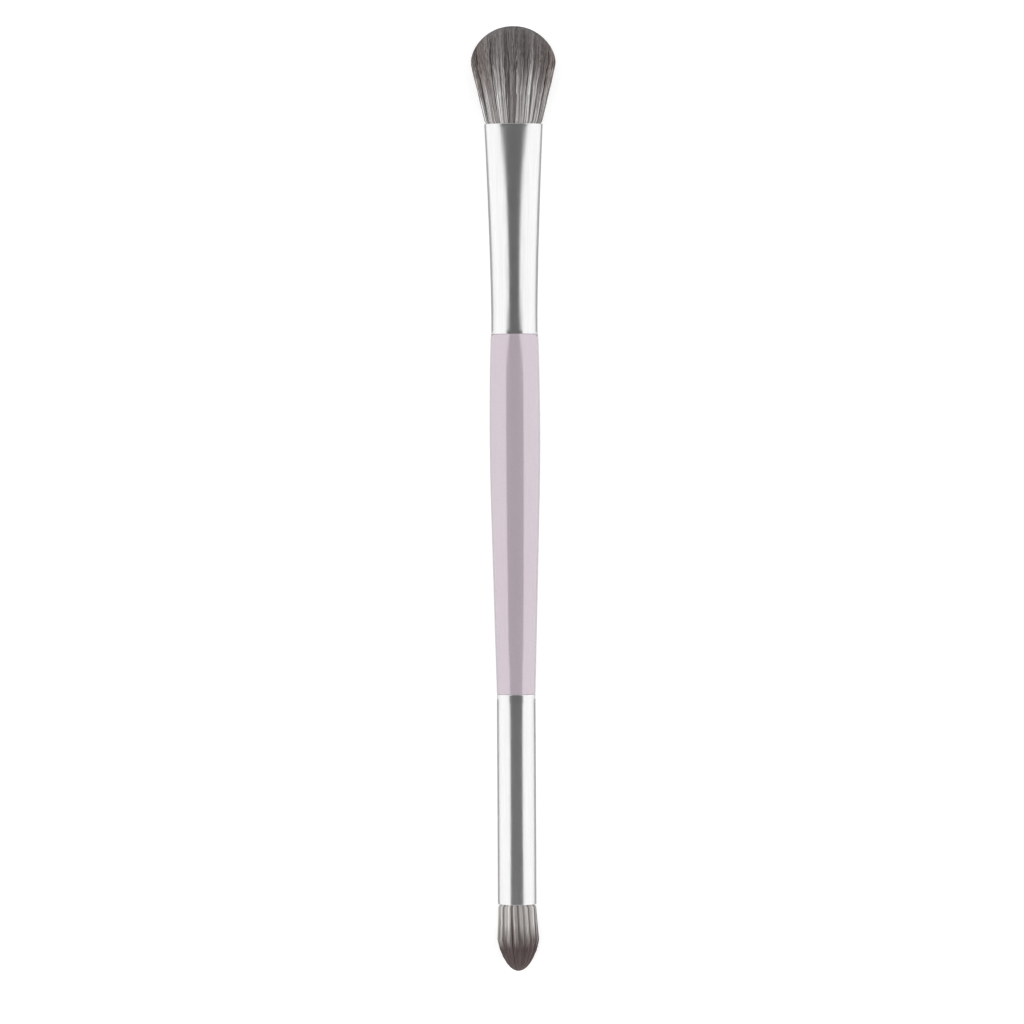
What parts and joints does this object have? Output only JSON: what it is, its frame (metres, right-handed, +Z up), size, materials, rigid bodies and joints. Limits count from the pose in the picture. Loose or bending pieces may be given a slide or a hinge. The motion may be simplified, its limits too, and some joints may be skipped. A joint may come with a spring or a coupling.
{
  "type": "double ended makeup brush",
  "caption": "Slim double ended makeup brush: wide fluffy tuft at one end, small bullet tuft at the other, plain metal ferrules and a glossy lacquered handle between them.",
  "frame": {"origin": "on the surface that the brush lies on, under the middle of its length and width", "axes": "+Y along the brush towards the wide fluffy tuft, +Z up from the surface, +X across the wide side of that tuft"},
  "size_m": [0.0162, 0.18, 0.011],
  "materials": {
    "lacquered_wood": "glossy pearly lilac lacquer over wood",
    "ferrule_metal": "bright drawn aluminium with a fine polish",
    "head_hair": "soft synthetic hair, light grey at the root to dark taupe grey at the ends",
    "tip_hair": "soft synthetic hair, light grey with dark brown ends",
    "thread": "matt twisted thread",
    "set_glue": "set resin glue"
  },
  "bodies": {
    "root": {"handle": "lacquered_wood", "head_ferrule": "ferrule_metal", "tip_ferrule": "ferrule_metal", "head_tuft": "head_hair", "tip_tuft": "tip_hair", "head_tie_thread": "thread", "tip_tie_thread": "thread", "head_glue_plug": "set_glue", "tip_glue_plug": "set_glue"}
  },
  "joints": []
}
